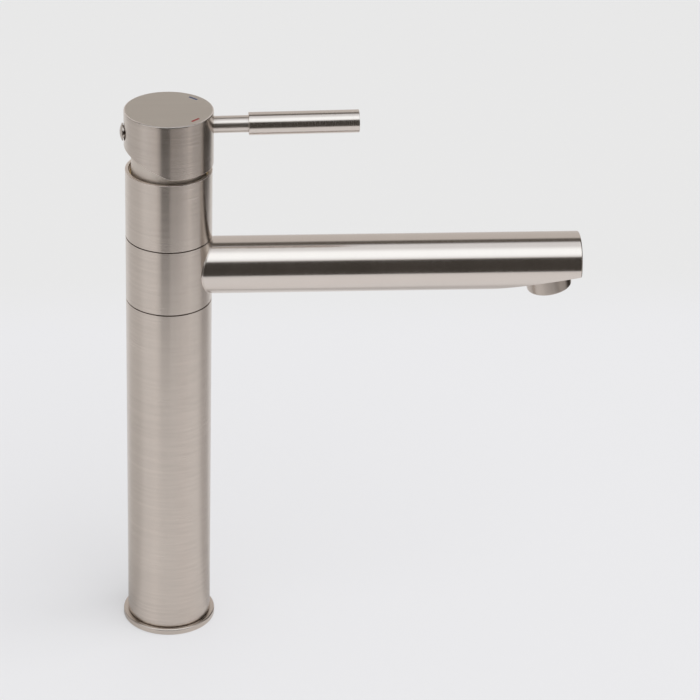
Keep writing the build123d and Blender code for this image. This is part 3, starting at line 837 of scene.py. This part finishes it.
@dataclass
class Spout:
    """The collar, the spout with its flat underside, and the nozzle."""

    reach: float = 0.200           # column axis to nozzle centre
    wall: float = 0.0012
    collar_bore: float = 0.01725
    core_r: float = 0.0198         # the tube ends on this radius inside the collar
    collar_edge: float = 0.00015
    tip_round: float = 0.0009
    sole_angle: float = math.radians(11.5)
    sole_drop: float = 0.00675     # flat underside below the spout's axis at the nozzle
    sole_edge: float = 0.00012
    bead_r: float = 0.0005         # fillet of the brazed joint
    ring_pitch: float = 0.012      # spacing of the edge rings along the tube
    nozzle_r: float = 0.0119
    nozzle_h: float = 0.0085
    nozzle_round: float = 0.0008
    thread_r: float = 0.0096
    thread_h: float = 0.0065
    insert_r: float = 0.0084
    lip_r: float = 0.0076
    lip_h: float = 0.0012
    axis_z: float = field(init=False)
    tube_r: float = field(init=False)
    tip: float = field(init=False)

    def __post_init__(self) -> None:
        """Read the spout's place from the frame."""
        low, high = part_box("spout_tube")
        self.axis_z = (low.z + high.z) / 2
        self.tube_r = (high.z - low.z) / 2
        self.tip = high.x

    @property
    def along(self) -> Placement:
        """The spout's own axis."""
        return Placement(Vector((0, 0, self.axis_z)), math.pi / 2)

    @property
    def outward(self) -> Placement:
        """The nozzle's axis, pointing down out of the flat underside."""
        origin = Vector((self.reach, 0, self.axis_z - self.sole_drop))
        return Placement(origin, math.pi - self.sole_angle)

    def build(self) -> None:
        """Model and dress the collar, the spout and the nozzle."""
        dress(self.make_collar(), "spout", ["spout_collar"], COLUMN_FINISH)
        brazed = ["spout_tube", "spout_sole", "spout_end_plate"]
        dress(self.make_shell(), "spout", brazed, SPOUT_FINISH.along(self.along))
        dress(self.make_nozzle(), "spout", ["aerator_housing"], NOZZLE_PAINTED_SHADE_FINISH.along(self.outward))

    def make_collar(self) -> Piece:
        """Turn the collar.

        Returns:
            The ring that turns on the valve body.
        """
        low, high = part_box("spout_collar")
        section = Section("collar_brushed", self.collar_bore, high.x, low.z, high.z)
        section.round(high.x, high.z, self.collar_edge, segments=2)
        section.round(high.x, low.z, self.collar_edge, segments=2)
        return section.turn()

    def make_bar(self, name: str, radius: float, low: float, high: float, rounding: float) -> Piece:
        """Turn a round bar along the spout, with extra rings along it.

        Args:
            name: The bar's name.
            radius: Its radius.
            low: Its end inside the collar.
            high: Its end at the tip.
            rounding: The rounding at the tip, 0 for none.

        Returns:
            The bar.
        """
        section = Section(name, 0, radius, low, high)
        if rounding:
            section.round(radius, high, rounding, segments=8)
        bar = section.turn(self.along)
        count = int((high - low) / self.ring_pitch)
        places = [low + self.ring_pitch * step for step in range(1, count + 1)]
        add_rings(bar, Vector((1, 0, 0)), places)
        return bar

    def make_shell(self) -> Piece:
        """Model the spout as a thin shell: tube, end and flat underside.

        Returns:
            The hollow spout, coped to the collar, with its joint's fillet.
        """
        sole = self.outward
        outward = sole.matrix().to_3x3() @ Vector((0, 0, 1))
        shell = self.make_bar("spout_brushed", self.tube_r, 0, self.tip, self.tip_round)
        slice_off(shell, sole.origin, -outward)
        bevel_edges(shell, self.sole_edge, segments=2, above=30.0)
        inner_r, inner_tip = self.tube_r - self.wall, self.tip - self.wall
        hollow = self.make_bar("spout_hollow", inner_r, -self.wall, inner_tip, 0)
        slice_off(hollow, sole.origin - outward * self.wall, -outward)
        cut_away(shell, hollow)
        cut_away(shell, round_bar("nozzle_hole", self.thread_r, -2 * self.wall, 2 * self.wall, sole))
        low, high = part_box("spout_collar")
        cut_away(shell, round_bar("collar_core", self.core_r, low.z, high.z, UPRIGHT))
        settle(shell)
        bead = self.make_bead(high.x)
        activate(shell)
        bead.select_set(True)
        bpy.ops.object.join()
        return shell

    def make_bead(self, collar_r: float) -> Piece:
        """Bend a thin torus along the line where the spout meets the collar.

        Args:
            collar_r: The collar's outer radius.

        Returns:
            The fillet of the brazed joint.
        """
        deselect()
        bpy.ops.mesh.primitive_torus_add(
            major_radius=self.tube_r,
            minor_radius=self.bead_r,
            major_segments=TURN_STEPS,
            minor_segments=12,
            location=(0, 0, self.axis_z),
            rotation=(0, math.pi / 2, 0),
        )
        bead = bpy.context.object
        bpy.ops.object.transform_apply()
        for vertex in bead.data.vertices:
            spread = math.hypot(vertex.co.y, vertex.co.z - self.axis_z)
            middle = self.tube_r * vertex.co.y / spread
            vertex.co.x += math.sqrt(collar_r**2 - middle**2)
        return bead

    def make_nozzle(self) -> Piece:
        """Turn the nozzle's housing.

        Returns:
            The ring with its thread and the lip that holds the insert.
        """
        section = Section("nozzle_brushed", self.lip_r, self.nozzle_r, -self.thread_h, self.nozzle_h)
        section.remove(self.thread_r, self.nozzle_r, -self.thread_h, 0)
        section.remove(self.lip_r, self.insert_r, -self.thread_h, self.nozzle_h - self.lip_h)
        section.round(self.nozzle_r, self.nozzle_h, self.nozzle_round, segments=8)
        section.round(self.lip_r, self.nozzle_h, self.nozzle_round / 2, segments=4)
        return section.turn(self.outward)


@dataclass
class Shoulder:
    """The fixed sleeve above the collar and the neck in it."""

    sleeve_bore: float = 0.02032
    lip_bore: float = 0.0209       # the thin lip that stands round the neck
    lip_h: float = 0.002
    lip_round: float = 0.0003
    edge: float = 0.0003
    neck_bore: float = 0.01762
    neck_opening: float = 0.0114
    neck_roof: float = 0.0016
    neck_round: float = 0.004

    def build(self) -> None:
        """Model and dress both pieces."""
        sleeve = self.make_sleeve()
        dress(sleeve, "fixed_body", ["upper_sleeve"], COLUMN_FINISH, RIM_PAINTED_LIGHT_FINISH)
        self.finish_lip(sleeve)
        dress(self.make_neck(), "fixed_body", ["neck_cover"], NECK_PAINTED_LIGHT_FINISH)

    def make_sleeve(self) -> Piece:
        """Turn the sleeve.

        Returns:
            The open sleeve with its rounded upper lip.
        """
        low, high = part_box("upper_sleeve")
        section = Section("sleeve_brushed", self.sleeve_bore, high.x, low.z, high.z)
        section.remove(self.sleeve_bore, self.lip_bore, high.z - self.lip_h, high.z)
        section.round(high.x, high.z, self.lip_round, segments=6)
        section.round(high.x, low.z, self.edge, segments=2)
        return section.turn()

    def finish_lip(self, sleeve: Piece) -> None:
        """Give the lip's top and the step inside it the second finish, a lighter nickel with painted
        light.
        """
        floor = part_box("upper_sleeve")[1].z - self.lip_h - SAME
        outer = self.lip_bore + 2 * self.lip_round
        for face in sleeve.data.polygons:
            on_lip = face.center.z > floor and face.normal.z > -FACING_UP
            on_side = face.center.xy.length > outer and face.normal.z < FACING_UP
            face.material_index = int(on_lip and not on_side)

    def make_neck(self) -> Piece:
        """Turn the neck.

        Returns:
            The cap round the cartridge's head, with its round shoulder.
        """
        low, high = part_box("neck_cover")
        section = Section("neck_brushed", self.neck_opening, high.x, low.z, high.z)
        section.remove(self.neck_opening, self.neck_bore, low.z, high.z - self.neck_roof)
        section.round(high.x, high.z, self.neck_round, segments=10)
        return section.turn()


@dataclass(frozen=True)
class Mark:
    """A temperature mark in the handle's top."""

    node: str
    side: int                      # -1 at the user's left, 1 at the right
    enamel: Moulded


MARKS = (Mark("hot_mark", -1, RED), Mark("cold_mark", 1, BLUE))


@dataclass
class Lever:
    """The handle with its temperature marks, the lever and the rear plug."""

    handle_bore: float = 0.0209
    skin: float = 0.0155           # solid metal above the handle's hollow
    top_round: float = 0.0004
    rear_cut: float = math.radians(23.0)
    edge: float = 0.00035
    lever_height: float = 0.0204   # lever's axis above the handle's lower edge
    rise: float = math.radians(0.95)
    rod_r: float = 0.0044
    rod_recess: float = 0.0008
    rod_length: float = 0.0177
    spigot_r: float = 0.00298
    spigot_l: float = 0.012
    grip_r: float = 0.00595
    grip_length: float = 0.0568
    grip_edge: float = 0.00035
    plug_height: float = 0.0173    # plug's axis above the handle's lower edge
    plug_r: float = 0.0046
    plug_h: float = 0.00175
    plug_rim: float = 0.0005
    plug_round: float = 0.0002
    plug_gap: float = 0.0003       # between the plug's head and the handle
    plug_play: float = 0.0005      # free depth behind the plug's stem
    stem_r: float = 0.0034
    stem_l: float = 0.005
    screw_r: float = 0.0025
    fit: float = 0.00002           # gap round a screwed or pressed piece
    mark_length: float = 0.0055
    mark_width: float = 0.00135
    mark_round: float = 0.4455     # rounding of its corners, as a share of half its width
    mark_radius: float = 0.0189
    mark_angle: float = math.radians(46.5)
    pocket_depth: float = 0.0004
    enamel_h: float = 0.0002
    enamel_sink: float = 0.00003   # enamel below the handle's top
    enamel_gap: float = 0.000015   # gap round the enamel
    handle_r: float = field(init=False)
    bottom: float = field(init=False)
    top: float = field(init=False)
    seat: float = field(init=False)

    def __post_init__(self) -> None:
        """Read the handle's place from the frame."""
        low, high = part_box("handle_cap")
        self.handle_r, self.bottom, self.top = high.x, low.z, high.z
        self.seat = self.handle_r - self.rod_recess

    @property
    def along(self) -> Placement:
        """The lever's own axis."""
        return Placement(Vector((0, 0, self.bottom + self.lever_height)), math.pi / 2 - self.rise)

    @property
    def rearward(self) -> Placement:
        """The plug's axis, pointing out of the handle's rear."""
        return Placement(Vector((-self.handle_r, 0, self.bottom + self.plug_height)), -math.pi / 2)

    def build(self) -> None:
        """Model and dress every piece that tilts with the lever."""
        handle = self.make_handle()
        dress(handle, "lever", ["handle_cap"], HANDLE_FINISH, HANDLE_TOP_FINISH, EDGE_HIGHLIGHT_FINISH)
        self.finish_top(handle)
        dress(self.make_rod(), "lever", ["lever_rod"], ROD_FINISH.along(self.along))
        dress(self.make_grip(), "lever", ["lever_grip"], GRIP_FINISH.along(self.along))
        dress(self.make_plug(), "lever", ["rear_plug"], PLUG_FINISH.along(self.rearward))
        for mark in MARKS:
            dress(self.make_mark(mark), "lever", [mark.node], mark.enamel, slot=mark.enamel.name)

    def make_handle(self) -> Piece:
        """Turn the handle, cut its rear away, sink the marks' pockets and bore it.

        Returns:
            The thick cap.
        """
        section = Section("handle_brushed", 0, self.handle_r, self.bottom, self.top)
        section.remove(0, self.handle_bore, self.bottom, self.top - self.skin)
        section.round(self.handle_r, self.top, self.top_round, segments=1)
        handle = section.turn()
        kept_side = Vector((math.sin(self.rear_cut), 0, math.cos(self.rear_cut)))
        slice_off(handle, Vector((0, 0, self.bottom)), kept_side)
        bevel_edges(handle, self.edge, segments=2, above=40.0)
        for mark in MARKS:
            pocket = self.mark_bar("pocket", mark.side, -self.pocket_depth, self.pocket_depth, 0)
            cut_away(handle, pocket)
        outside, socket_end = self.handle_r, self.seat - self.spigot_l
        bore_end = -self.stem_l - self.plug_play
        for name, radius, low, high, placement in (
            ("rod_seat", self.rod_r + self.fit, self.seat, 2 * outside, self.along),
            ("rod_socket", self.spigot_r + self.fit, socket_end, outside, self.along),
            ("plug_bore", self.stem_r + self.fit, bore_end, outside, self.rearward),
            ("screw_bore", self.screw_r, -outside, 0, self.rearward),
        ):
            cut_away(handle, round_bar(name, radius, low, high, placement))
        settle(handle)
        return handle

    def finish_top(self, handle: Piece) -> None:
        """Give the level top the second finish and the chamfer round it the third, a lighter nickel with
        a painted highlight.
        """
        for face in handle.data.polygons:
            if face.center.z > self.top - self.top_round and face.normal.z > FACING_UP:
                face.material_index = 1 if face.normal.z > LEVEL else 2

    def mark_bar(self, name: str, side: int, low: float, high: float, gap: float) -> Piece:
        """Model a short bar with rounded corners at the place of a mark.

        Args:
            name: The bar's name.
            side: -1 for the hot side and 1 for the cold.
            low: Its underside, above the handle's top.
            high: Its upper side, above the handle's top.
            gap: How much smaller it is all round than its pocket.

        Returns:
            The bar.
        """
        deselect()
        bpy.ops.mesh.primitive_cube_add(size=1)
        bar = bpy.context.object
        bar.name = name
        half_width, half_length = self.mark_width / 2 - gap, self.mark_length / 2 - gap
        bar.scale = (2 * half_width, 2 * half_length, high - low)
        bpy.ops.object.transform_apply()
        with editing(bar, Element.EDGE):
            for x in (-half_width, half_width):
                for y in (-half_length, half_length):

                    def upright(point: Vector, corner: Vector = Vector((x, y))) -> bool:
                        """Whether a point is on one upright edge."""
                        return (point.xy - corner).length < SAME

                    select_where(bar, Element.EDGE, upright)
                    bpy.ops.mesh.bevel(affect="EDGES", offset=half_width * self.mark_round, segments=4)
        turn = Matrix.Rotation(side * self.mark_angle, 4, "Z")
        move_to(bar, turn @ Matrix.Translation((self.mark_radius, 0, self.top + (low + high) / 2)))
        return bar

    def make_mark(self, mark: Mark) -> Piece:
        """Model the enamel bar in one pocket."""
        low = -self.enamel_sink - self.enamel_h
        return self.mark_bar(mark.node + "_enamel", mark.side, low, -self.enamel_sink, self.enamel_gap)

    def make_rod(self) -> Piece:
        """Turn the lever's thin rod with a spigot at each end."""
        low, end = self.seat - self.spigot_l, self.handle_r + self.rod_length
        section = Section("lever_rod_brushed", 0, self.rod_r, low, end + self.spigot_l)
        section.remove(self.spigot_r, self.rod_r, low, self.seat)
        section.remove(self.spigot_r, self.rod_r, end, end + self.spigot_l)
        return section.turn(self.along)

    def make_grip(self) -> Piece:
        """Turn the lever's grip, with its bore for the rod's spigot."""
        low = self.handle_r + self.rod_length
        high = low + self.grip_length
        section = Section("lever_grip_brushed", 0, self.grip_r, low, high)
        section.remove(0, self.spigot_r, low, low + self.spigot_l)
        section.round(self.grip_r, low, self.grip_edge, segments=2)
        section.round(self.grip_r, high, self.grip_edge, segments=2)
        return section.turn(self.along)

    def make_plug(self) -> Piece:
        """Model the domed plug: a cap off a sphere, with a rim and a stem.

        Returns:
            The plug, in the handle's rear.
        """
        dome_h = self.plug_h - self.plug_rim
        dome_r = (self.plug_r**2 + dome_h**2) / (2 * dome_h)
        crown = self.plug_gap + self.plug_h
        rim = crown - dome_h
        deselect()
        bpy.ops.mesh.primitive_uv_sphere_add(
            segments=96, ring_count=96, radius=dome_r, location=(0, 0, crown - dome_r)
        )
        plug = bpy.context.object
        plug.name = "rear_plug_polished"
        bpy.ops.object.transform_apply()
        slice_off(plug, Vector((0, 0, rim)), Vector((0, 0, 1)))
        with editing(plug):
            select_where(plug, Element.FACE, lambda point: abs(point.z - rim) < SAME)
            extrude(Vector((0, 0, -self.plug_rim)))
            bpy.ops.mesh.inset(thickness=self.plug_r - self.stem_r)
            extrude(Vector((0, 0, -self.plug_gap - self.stem_l)))
        bevel_edges(plug, self.plug_round, segments=3, above=40.0)
        settle(plug)
        move_to(plug, self.rearward.matrix())
        return plug


@dataclass
class InnerParts:
    """The solids inside, which keep their shape and get a finish by their slot."""

    finishes: tuple[Finish, ...] = INNER_FINISHES

    def build(self) -> None:
        """Give each solid that still shows its material."""
        by_slot = {finish.name: finish for finish in self.finishes}
        slots = {row["node"]: row["material_slot"] for row in frame["record"]["subparts"]}
        for name, node in sorted(frame["nodes"].items()):
            if node.hide_render:
                continue
            finish = by_slot.get(slots[name], COLUMN_FINISH)
            for material_slot in node.material_slots:
                material_slot.material = finish.material()
            LOG.info("%s: finished in %s", name, finish.name)


@dataclass(frozen=True)
class Panel:
    """A flat rectangle that shows in reflections: a softbox, a card or a dark gap.

    It is far away in one direction. Angles are degrees, and the azimuth is
    measured from -Y towards +X.
    """

    azimuth: float
    elevation: float
    half_width: float
    half_height: float
    level: Colour
    blur: float                    # softness of its edges, as a share of one radian
    nearest: float = 0.001         # what lies less than this ahead is behind the eye

    def mask(self, nodes: Nodes, direction: Socket) -> Socket:
        """Find how far a direction meets the panel, from 0 to 1.

        Args:
            nodes: The world's or the table's nodes.
            direction: The direction's socket.

        Returns:
            The mask's socket.
        """
        azimuth, elevation = math.radians(self.azimuth), math.radians(self.elevation)
        right = Vector((math.cos(azimuth), math.sin(azimuth), 0))
        level = Vector((math.sin(azimuth), -math.cos(azimuth), 0))
        forward = level * math.cos(elevation) + Vector((0, 0, math.sin(elevation)))
        up = forward.cross(right)
        ahead = nodes.measure("DOT_PRODUCT", direction, forward)
        depth = nodes.math("MAXIMUM", ahead, self.nearest)
        result = nodes.math("GREATER_THAN", ahead, self.nearest)
        for axis, half in ((right, self.half_width), (up, self.half_height)):
            aside = nodes.measure("DOT_PRODUCT", direction, axis)
            offset = nodes.math("ABSOLUTE", nodes.math("DIVIDE", aside, depth))
            edge = math.tan(math.radians(half))
            result = nodes.times(result, nodes.step(offset, edge + self.blur, edge - self.blur))
        return result


@dataclass(frozen=True)
class Light:
    """A broad, far lamp: its strength, the way it points and how soft it is."""

    name: str
    strength: float
    turn: Euler
    softness: float


@dataclass
class Studio:
    """The pale room, its light and the photograph's camera."""

    backdrop: Colour = (0.815, 0.815, 0.815)
    fill: float = 0.62             # light from all round
    table: Colour = (0.835, 0.835, 0.852)
    table_half: float = 6.0
    table_roughness: float = 0.4
    table_gloss: float = 0.25
    grain: float = 900.0           # the table's grains per metre
    grain_depth: float = 0.00001
    grain_share: float = 0.2
    seam: float = 0.37             # where the table meets the backdrop behind it
    front_edge: float = -0.52      # the table's edges in reflections
    right_edge: float = 0.46
    edge_blur: float = 0.05
    gap_start: float = 0.46        # where the dark gap starts, from the column
    gap_blur: float = 0.13
    glow_share: float = 0.45       # part of the table's paleness that shadows don't reach
    glow_level: float = 0.985
    lights: tuple[Light, ...] = (
        Light("key_light", 0.95, Euler((math.radians(37.0), 0, math.radians(35.0))), math.radians(50.0)),
        Light("side_light", 0.80, Euler((0, math.radians(52.0), 0)), math.radians(40.0)),
    )
    room: Colour = (0.66, 0.635, 0.62)
    panels: tuple[Panel, ...] = (                                # each covers those before it
        Panel(0, 110, 80, 12, (0.12, 0.11, 0.10), 0.08),         # dark strip behind the softbox
        Panel(0, 70, 78, 32, (0.90, 0.93, 0.98), 0.09),          # softbox overhead
        Panel(0, 58, 75, 17, (1.36, 1.46, 1.55), 0.18),          # its bright middle
        Panel(0, -50, 80, 30, (0.76, 0.72, 0.70), 0.10),         # floor in front of the table
        Panel(-11, -45, 12, 32, (0.06, 0.055, 0.05), 0.07),      # dark gap in that floor
        Panel(-100, -5, 30, 40, (0.36, 0.34, 0.33), 0.25),       # left wall
        Panel(-52, -5, 20, 40, (0.58, 0.565, 0.56), 0.25),       # its paler front part
        Panel(76, -5, 22, 40, (0.48, 0.47, 0.47), 0.25),         # right wall
        Panel(116, -5, 22, 45, (0.04, 0.035, 0.03), 0.12),       # dark door in it
        Panel(9, 5, 41, 30, (0.06, 0.055, 0.05), 0.045),         # dark room round the camera
    )
    gap: Panel = Panel(-11, 0, 12, 60, (0.06, 0.055, 0.05), 0.07)
    painted_reflection_tones: tuple[Panel, ...] = (                                 # painted light and shade on the table, seen only in reflections
        Panel(-105, 0, 28, 60, (0.70, 0.695, 0.70), 0.30),
        Panel(-36, 0, 10, 60, (0.88, 0.875, 0.89), 0.20),
        Panel(38, 0, 18, 60, (0.84, 0.83, 0.845), 0.20),
        Panel(109, 0, 20, 60, (0.61, 0.60, 0.61), 0.25),
    )
    eye: Vector = field(default_factory=lambda: Vector((-0.0475125, -1.417125, 0.926316)))
    yaw: float = 0.1013
    pitch: float = 0.4923
    roll: float = 0.0313
    lens: float = 155.74

    def build(self) -> None:
        """Build the table, the room, the light and the camera."""
        self.build_table()
        self.build_world()
        self.build_lights()
        self.build_camera()
        bpy.context.scene.view_settings.view_transform = "Standard"

    def build_table(self) -> None:
        """Lay the pale table under the tap."""
        deselect()
        bpy.ops.mesh.primitive_plane_add(size=2 * self.table_half)
        table = bpy.context.object
        table.name = "table"
        material, nodes = new_material("table_top")
        point = nodes.mesh_point()
        x, y, _ = nodes.split(point)
        flat = nodes.combine(x, y, 0.0)
        path = nodes.add("ShaderNodeLightPath").outputs
        colour = nodes.blend(self.past(nodes, y, self.seam), self.table, self.backdrop)
        # paint light and shade into the table's colour where the metal reflects it
        for painted_tone in self.painted_reflection_tones:
            share = nodes.times(path["Is Glossy Ray"], painted_tone.mask(nodes, flat))
            colour = nodes.blend(share, colour, painted_tone.level)
        share = nodes.times(path["Is Camera Ray"], self.glow_share)
        glow = nodes.add("ShaderNodeEmission", {"Color": colour, "Strength": self.glow_level})
        surface = self.table_surface(nodes, point, colour)
        top = nodes.add("ShaderNodeMixShader", {0: share, 1: surface, 2: glow.outputs[0]})
        missing = nodes.math("SUBTRACT", 1.0, self.reflected(nodes, x, y, flat))
        clear = nodes.times(path["Is Glossy Ray"], missing)
        beyond = nodes.add("ShaderNodeBsdfTransparent")
        mixed = nodes.add("ShaderNodeMixShader", {0: clear, 1: top.outputs[0], 2: beyond.outputs[0]})
        nodes.add("ShaderNodeOutputMaterial", {"Surface": mixed.outputs[0]})
        table.data.materials.append(material)

    def table_surface(self, nodes: Nodes, point: Socket, colour: Socket) -> Socket:
        """Make the table's satin surface.

        Args:
            nodes: The table's nodes.
            point: The shaded point.
            colour: Its colour.

        Returns:
            The surface's socket.
        """
        height = nodes.noise(point, self.grain, 3.0)
        inputs = {"Strength": self.grain_share, "Distance": self.grain_depth, "Height": height}
        bump = nodes.add("ShaderNodeBump", inputs)
        inputs = {
            "Base Color": colour,
            "Roughness": self.table_roughness,
            "Specular IOR Level": self.table_gloss,
            "Normal": bump.outputs[0],
        }
        return nodes.add("ShaderNodeBsdfPrincipled", inputs).outputs[0]

    def past(self, nodes: Nodes, place: Socket, edge: float, way: int = 1) -> Socket:
        """Find whether a place on the table is past a soft edge.

        Args:
            nodes: The table's nodes.
            place: The place along one axis.
            edge: The edge's place along it.
            way: 1 where past means further along the axis, -1 where it means less far.

        Returns:
            A socket that goes from 0 to 1.
        """
        blur = way * self.edge_blur
        return nodes.step(place, edge - blur, edge + blur)

    def reflected(self, nodes: Nodes, x: Socket, y: Socket, flat: Socket) -> Socket:
        """Find where reflections show the table.

        Past its front edge and its right edge they show the room, and so they
        do in its dark gap.

        Args:
            nodes: The table's nodes.
            x: The shaded point's place along X.
            y: Its place along Y.
            flat: Its direction from the column's foot.

        Returns:
            A socket that is 1 where the table shows and 0 elsewhere.
        """
        start, end = self.gap_start - self.gap_blur, self.gap_start + self.gap_blur
        far = nodes.step(nodes.measure("LENGTH", flat), start, end)
        hidden = nodes.times(far, self.gap.mask(nodes, flat))
        behind_front = self.past(nodes, y, self.front_edge)
        left_of_right = self.past(nodes, x, self.right_edge, way=-1)
        inside = nodes.times(behind_front, left_of_right)
        return nodes.times(inside, nodes.math("SUBTRACT", 1.0, hidden))

    def build_world(self) -> None:
        """Surround the tap with a pale room, with softboxes and dark gaps in reflections."""
        world = bpy.data.worlds.new("room")
        bpy.context.scene.world = world
        world.use_nodes = True
        world.cycles.sampling_method = "NONE"
        nodes = Nodes(world.node_tree)
        direction = nodes.add("ShaderNodeTexCoord").outputs["Generated"]
        path = nodes.add("ShaderNodeLightPath").outputs
        seen: object = self.room
        for panel in self.panels:
            seen = nodes.blend(panel.mask(nodes, direction), seen, panel.level)
        lit = nodes.blend(path["Is Glossy Ray"], (self.fill,) * 3, seen)
        shown = nodes.blend(path["Is Camera Ray"], lit, self.backdrop)
        background = nodes.add("ShaderNodeBackground", {"Color": shown})
        nodes.add("ShaderNodeOutputWorld", {"Surface": background.outputs[0]})

    def build_lights(self) -> None:
        """Hang the lights, which make the soft shadows and show in no reflection."""
        for lamp in self.lights:
            deselect()
            bpy.ops.object.light_add(type="SUN", rotation=lamp.turn)
            light = bpy.context.object
            light.name = lamp.name
            light.data.energy = lamp.strength
            light.data.angle = lamp.softness
            light.visible_glossy = False

    def build_camera(self) -> None:
        """Stand the camera where the photograph was taken from."""
        ahead = Vector((math.sin(self.yaw), math.cos(self.yaw), 0))
        forward = ahead * math.cos(self.pitch) - Vector((0, 0, math.sin(self.pitch)))
        level = Vector((math.cos(self.yaw), -math.sin(self.yaw), 0))
        upward = level.cross(forward)
        right = math.cos(self.roll) * level + math.sin(self.roll) * upward
        up = math.cos(self.roll) * upward - math.sin(self.roll) * level
        turn = Matrix((right, up, -forward)).transposed().to_4x4()
        deselect()
        bpy.ops.object.camera_add()
        camera = bpy.context.object
        camera.name = "photo_camera"
        camera.matrix_world = Matrix.Translation(self.eye) @ turn
        camera.data.lens = self.lens
        bpy.context.scene.camera = camera


def main() -> None:
    """Build and dress the tap, then its studio."""
    logging.basicConfig(level=logging.INFO, format="%(message)s")
    deselect()
    Column().build()
    Spout().build()
    Shoulder().build()
    Lever().build()
    InnerParts().build()
    Studio().build()


if __name__ == "__main__":
    main()
